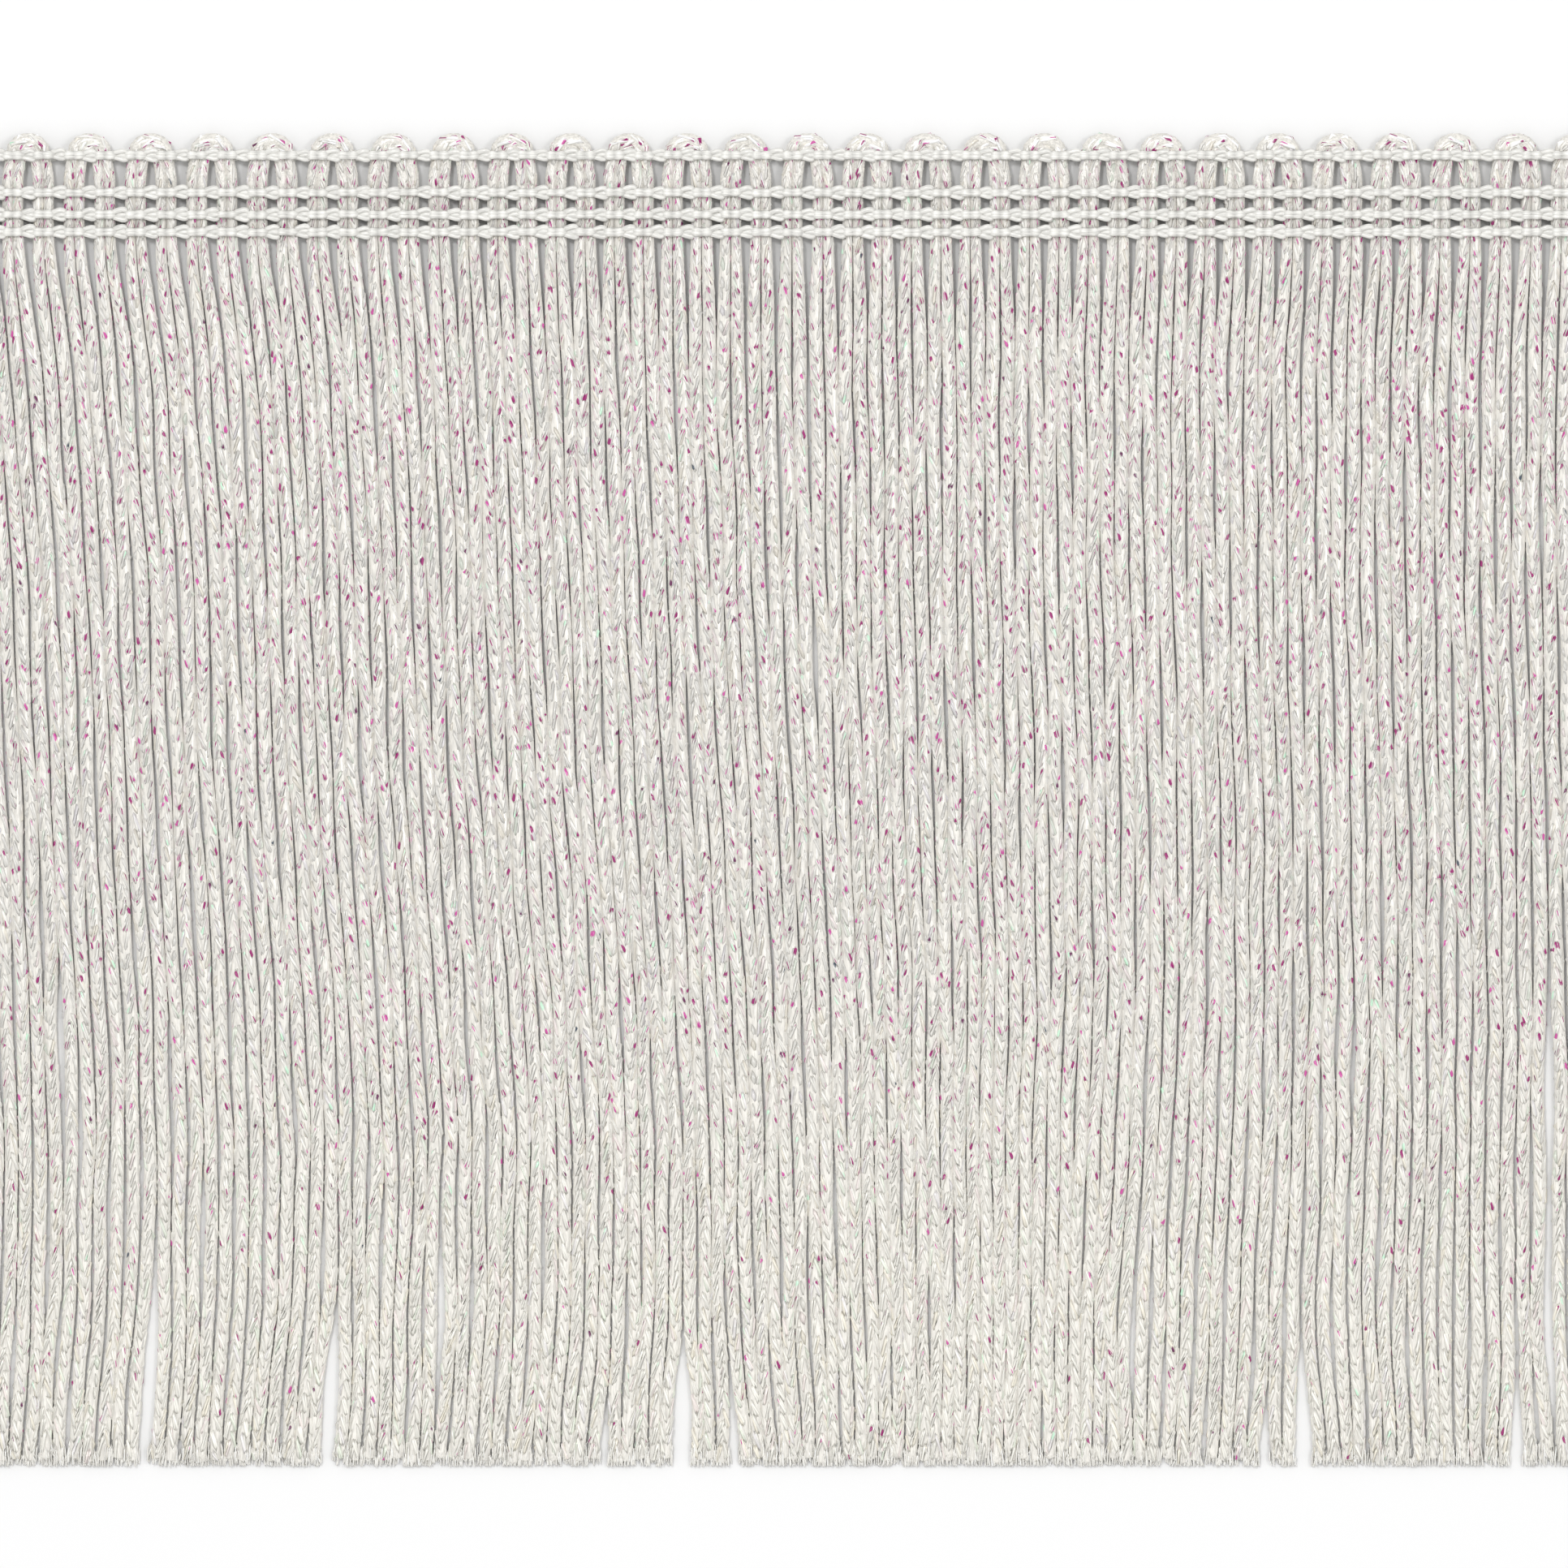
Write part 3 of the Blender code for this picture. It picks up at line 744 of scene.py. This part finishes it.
def add_chain_legs(batch, y, gaps):
    """The two yarns of a chain over the face of each column."""
    count = COLUMNS
    share = np.linspace(0, 1, CHAIN_LEG["stations"])
    middles = column_x(np.arange(COLUMNS))
    for side in (-1, 1):
        x = gaps[:-1, None] * (1 - share) + gaps[1:, None] * share
        x = x + CHAIN_LEG_SLANT * (0.5 - share)[None, :]
        rise = np.zeros_like(x)
        for cord in (-1, 1):
            from_cord = (x - middles[:, None] - cord * CORD_OFFSET) / HUMP_WIDTH
            rise += np.exp(-(from_cord**2))
        lift = HUMP_RISE * rng.uniform(0.8, 1.15, (count, 1))
        z = CHAIN_FACE_HEIGHT + rise * lift - CHAIN_LEG_DIP * np.abs(2 * share - 1)[None, :] ** 4
        spread = side * CHAIN_SPREAD * (1 - 0.35 * np.abs(2 * share - 1)[None, :] ** 3)
        sway = rng.normal(0, 0.035, (count, 1)) * MM
        points = np.stack([x, y + spread + sway + np.zeros_like(x), z], axis=-1)
        outward = np.zeros_like(points)
        outward[..., 2] = 1.0
        outward[..., 1] = side * 0.35
        girth = rng.uniform(0.94, 1.08, (count, 1)) * np.ones_like(x)
        wide, thick = CHAIN_LEG["wide"] * girth, CHAIN_LEG["thick"] * girth
        # Painted highlight on the humps over the cords and painted shade between them
        shades = CHAIN_PAINTED_HUMP_SHADING[0] + (CHAIN_PAINTED_HUMP_SHADING[1] - CHAIN_PAINTED_HUMP_SHADING[0]) * np.clip(rise, 0.0, 1.0) ** 1.5
        batch.add(points, outward, wide, thick, CHAIN_LEG["sides"], chain_tints(count), shades=shades)


def add_chain_heads(batch, y, gaps, size):
    """The loop heads between the columns, each a full lump with a small dimple at its upper left."""
    count = len(gaps)
    stations = 9
    fine = np.linspace(0, 4, stations)
    scale = size * rng.uniform(0.95, 1.06, (count, 1))
    shift_x = gaps + rng.normal(0, 0.04, count) * MM
    shift_y = y + rng.normal(0, 0.035, count) * MM
    for yarn in HEAD_YARNS:
        path = np.stack([np.interp(fine, np.arange(5), yarn[axis]) for axis in ("x", "y", "z")]) * MM
        path = softened(path, 1).T
        points = np.repeat(path[None], count, axis=0)
        points = points + rng.normal(0, 0.03, (count, 1, 3)) * MM
        points[..., 1] *= scale
        points[..., 0] += shift_x[:, None]
        points[..., 1] += shift_y[:, None]
        outward = np.zeros_like(points)
        outward[..., 2] = 1.0
        girth = np.sin(np.linspace(0.75, math.pi - 0.75, stations)) ** 0.6
        girth = girth[None, :] * scale * rng.uniform(0.94, 1.06, (count, 1))
        wide, thick = yarn["wide"] * MM * girth, yarn["thick"] * MM * girth
        batch.add(points, outward, wide, thick, 6, chain_tints(count), lustre=HEAD_PAINTED_CREST_SHADING)


def add_chain_posts(batch, y, gaps):
    """The yarn that passes from face to back between two columns."""
    count = len(gaps)
    heights = np.array([0.05, 0.4, 1.1, 1.8, 2.1]) * MM
    points = np.zeros((count, len(heights), 3))
    points[..., 0] = gaps[:, None]
    points[..., 1] = y
    points[..., 2] = heights
    outward = np.zeros_like(points)
    outward[..., 1] = 1.0
    ones = np.ones((count, len(heights)))
    wide, thick = CHAIN_POST["wide"] * ones, CHAIN_POST["thick"] * ones
    batch.add(points, outward, wide, thick, 6, chain_tints(count))


def add_chain_back(batch, y, gaps):
    """The two yarns of a chain behind each column."""
    share = np.linspace(0, 1, 5)
    for side in (-1, 1):
        x = (gaps[:-1, None] - 0.35 * MM) * (1 - share) + (gaps[1:, None] + 0.35 * MM) * share
        points = np.zeros(x.shape + (3,))
        points[..., 0] = x
        points[..., 1] = y + side * CHAIN_BACK["spread"] * (1 - np.abs(2 * share - 1) ** 2)
        points[..., 2] = CHAIN_BACK["height"]
        outward = np.zeros_like(points)
        outward[..., 2] = 1.0
        wide, thick = CHAIN_BACK["wide"] * np.ones_like(x), CHAIN_BACK["thick"] * np.ones_like(x)
        batch.add(points, outward, wide, thick, 6, chain_tints(COLUMNS))


def add_chain_tail(batch, y, start, direction):
    """The cut end of a chain past its last loop head."""
    stations = 6
    share = np.linspace(0, 1, stations)
    length = abs(cad_high.x - abs(start)) - 0.3 * MM
    for side in (-1, 1):
        points = np.zeros((1, stations, 3))
        points[0, :, 0] = start + direction * share * length
        points[0, :, 1] = y + side * 0.22 * MM * np.cos(share * 2.4)
        points[0, :, 2] = 1.7 * MM * (1 - share) + 0.6 * MM * share + side * 0.2 * MM * np.sin(share * 2.4)
        outward = np.zeros_like(points)
        outward[..., 2] = 1.0
        ones = np.ones((1, stations))
        batch.add(points, outward, 0.26 * MM * ones, 0.24 * MM * ones, 7, chain_tints(1))
    end = np.array([start + direction * length, y, 0.6 * MM])
    add_frayed_end(batch, end, np.array([direction, 0.0, 0.0]), **TAIL_FRAY)


def make_chain(name, depth, material):
    y = DROP / 2 - depth
    gaps = gap_places()
    batch = Batch()
    add_chain_legs(batch, y, gaps)
    add_chain_heads(batch, y, gaps, 0.92 if name == "chain_top" else 1.0)
    add_chain_posts(batch, y, gaps)
    add_chain_back(batch, y, gaps)
    add_chain_tail(batch, y, gaps[0], -1.0)
    add_chain_tail(batch, y, gaps[-1], 1.0)
    piece_from(batch, name + "_yarn", material, name)


def piece_from(batch, name, material, node):
    mesh = batch.mesh(name)
    mesh.materials.append(material)
    piece = bpy.data.objects.new(name, mesh)
    bpy.context.scene.collection.objects.link(piece)
    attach(piece, "root")
    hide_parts(node)


def fibre_bump(nodes, links, stretch, scale, strength, distance):
    """A bump of fine filaments that run along the yarn, and the noise that it comes from."""
    place = nodes.new("ShaderNodeAttribute")
    place.attribute_name = "fibre"
    squeeze = nodes.new("ShaderNodeVectorMath")
    squeeze.operation = "MULTIPLY"
    squeeze.inputs[1].default_value = stretch
    links.new(place.outputs["Vector"], squeeze.inputs[0])
    noise = nodes.new("ShaderNodeTexNoise")
    noise.inputs["Scale"].default_value = scale
    noise.inputs["Detail"].default_value = 2.0
    links.new(squeeze.outputs["Vector"], noise.inputs["Vector"])
    bump = nodes.new("ShaderNodeBump")
    bump.inputs["Strength"].default_value = strength
    bump.inputs["Distance"].default_value = distance
    links.new(noise.outputs["Fac"], bump.inputs["Height"])
    return noise, bump


def mixed_colour(nodes, links, blend, factor, first, second):
    """A Mix node. Each of factor, first and second is an output socket, or a plain number or colour."""
    mix = nodes.new("ShaderNodeMix")
    mix.data_type = "RGBA"
    mix.blend_type = blend
    mix.clamp_result = True
    for name, value in (("A", first), ("B", second), ("Factor", factor)):
        if isinstance(value, bpy.types.NodeSocket):
            links.new(value, mix.inputs[name])
        else:
            mix.inputs[name].default_value = value
    return mix.outputs["Result"]


def yarn_material(name, base, roughness, streak):
    """Lustrous yarn of fine filaments. streak is the darkest and the lightest share of the base colour, in
    streaks along the filaments that are partly their own tone and partly painted highlight.
    """
    material = bpy.data.materials.new(name)
    material.use_nodes = True
    nodes, links = material.node_tree.nodes, material.node_tree.links
    shader = nodes["Principled BSDF"]
    shader.inputs["Roughness"].default_value = roughness
    shader.inputs["Specular IOR Level"].default_value = 0.9
    noise, bump = fibre_bump(nodes, links, (0.14, 1.0, 1.0), 7.0, 0.6, 0.05 * MM)
    links.new(bump.outputs["Normal"], shader.inputs["Normal"])
    # The tint attribute holds the yarn's own tone with painted shade, highlight and light
    tint = nodes.new("ShaderNodeAttribute")
    tint.attribute_name = "tint"
    tinted = mixed_colour(nodes, links, "MULTIPLY", 1.0, tint.outputs["Color"], (*base, 1.0))
    # Streaks along the filaments, partly their own tone and partly painted highlight
    streaks = nodes.new("ShaderNodeMapRange")
    streaks.inputs["From Min"].default_value = 0.36
    streaks.inputs["From Max"].default_value = 0.64
    streaks.inputs["To Min"].default_value = streak[0]
    streaks.inputs["To Max"].default_value = streak[1]
    links.new(noise.outputs["Fac"], streaks.inputs["Value"])
    streaked = mixed_colour(nodes, links, "MULTIPLY", 1.0, tinted, streaks.outputs["Result"])
    glint = nodes.new("ShaderNodeAttribute")
    glint.attribute_name = "glint"
    edge = nodes.new("ShaderNodeMapRange")
    edge.inputs["From Min"].default_value = 0.42
    edge.inputs["From Max"].default_value = 0.50
    links.new(glint.outputs["Alpha"], edge.inputs["Value"])
    flecked = mixed_colour(nodes, links, "MIX", edge.outputs["Result"], streaked, glint.outputs["Color"])
    links.new(flecked, shader.inputs["Base Color"])
    return material


def make_fringe(material):
    depths, rows, heights = cord_tables()
    hairpins = COLUMNS // 2
    each = COLUMNS_TO_A_PIECE // 2
    for number, first in enumerate(range(0, hairpins, each), start=1):
        batch = Batch()
        for hairpin in range(first, first + each):
            for outer in (True, False):
                path = CordPath(hairpin, outer, depths, rows, heights)
                add_core(batch, path)
                add_stitches(batch, path)
                for end, toward in ((path.line[0], -path.along[0]), (path.line[-1], path.along[-1])):
                    add_frayed_end(batch, end, toward, **CORD_FRAY)
        piece_from(batch, f"fringe_{number}", material, "fringe")


def make_floor():
    bpy.ops.mesh.primitive_plane_add(size=3.0, location=(0, 0, 0))
    floor = bpy.context.object
    floor.name = "floor"
    material = bpy.data.materials.new("floor_white")
    material.use_nodes = True
    shader = material.node_tree.nodes["Principled BSDF"]
    shader.inputs["Base Color"].default_value = (0.85, 0.85, 0.85, 1.0)
    shader.inputs["Roughness"].default_value = 0.9
    floor.data.materials.append(material)


# Lamps over the trim, aimed at its middle: place and size in metres, power in watts
LAMPS = [
    {"name": "key", "place": (-0.28, 0.35, 1.1), "size": 0.20, "power": 3.6},
    {"name": "side", "place": (0.50, 0.10, 1.0), "size": 0.20, "power": 1.6},
]


def add_light(name, place, size, power):
    light = bpy.data.lights.new(name, "AREA")
    light.shape = "SQUARE"
    light.size = size
    light.energy = power
    lamp = bpy.data.objects.new(name, light)
    bpy.context.scene.collection.objects.link(lamp)
    lamp.location = place
    lamp.rotation_euler = (-Vector(place)).to_track_quat("-Z", "Y").to_euler()


def make_lights():
    world = bpy.data.worlds.new("studio")
    world.use_nodes = True
    background = world.node_tree.nodes["Background"]
    background.inputs["Color"].default_value = (1.0, 1.0, 1.0, 1.0)
    background.inputs["Strength"].default_value = 0.84
    bpy.context.scene.world = world
    for lamp in LAMPS:
        add_light(**lamp)


def make_camera():
    """A camera straight above the trim, that shows a little less than its whole length."""
    camera = bpy.data.cameras.new("camera")
    camera.sensor_width = 36.0
    distance = 1.2
    shown = 179.42 * MM
    camera.lens = camera.sensor_width * distance / shown
    camera.clip_start = 0.05
    camera.clip_end = 10.0
    holder = bpy.data.objects.new("camera", camera)
    bpy.context.scene.collection.objects.link(holder)
    holder.location = (1.374 * MM, 1.997 * MM, distance + 1.0 * MM)
    bpy.context.scene.camera = holder


def main():
    bpy.context.scene.view_settings.view_transform = "Standard"
    cord = yarn_material("chainette_cord", (0.745, 0.728, 0.688), 0.22, (0.84, 1.12))
    yarn = yarn_material("binding_yarn", (0.80, 0.79, 0.75), 0.30, (0.86, 1.10))
    make_fringe(cord)
    for name, depth in CHAIN_DEPTHS.items():
        make_chain(name, depth, yarn)
    make_floor()
    make_lights()
    make_camera()


main()
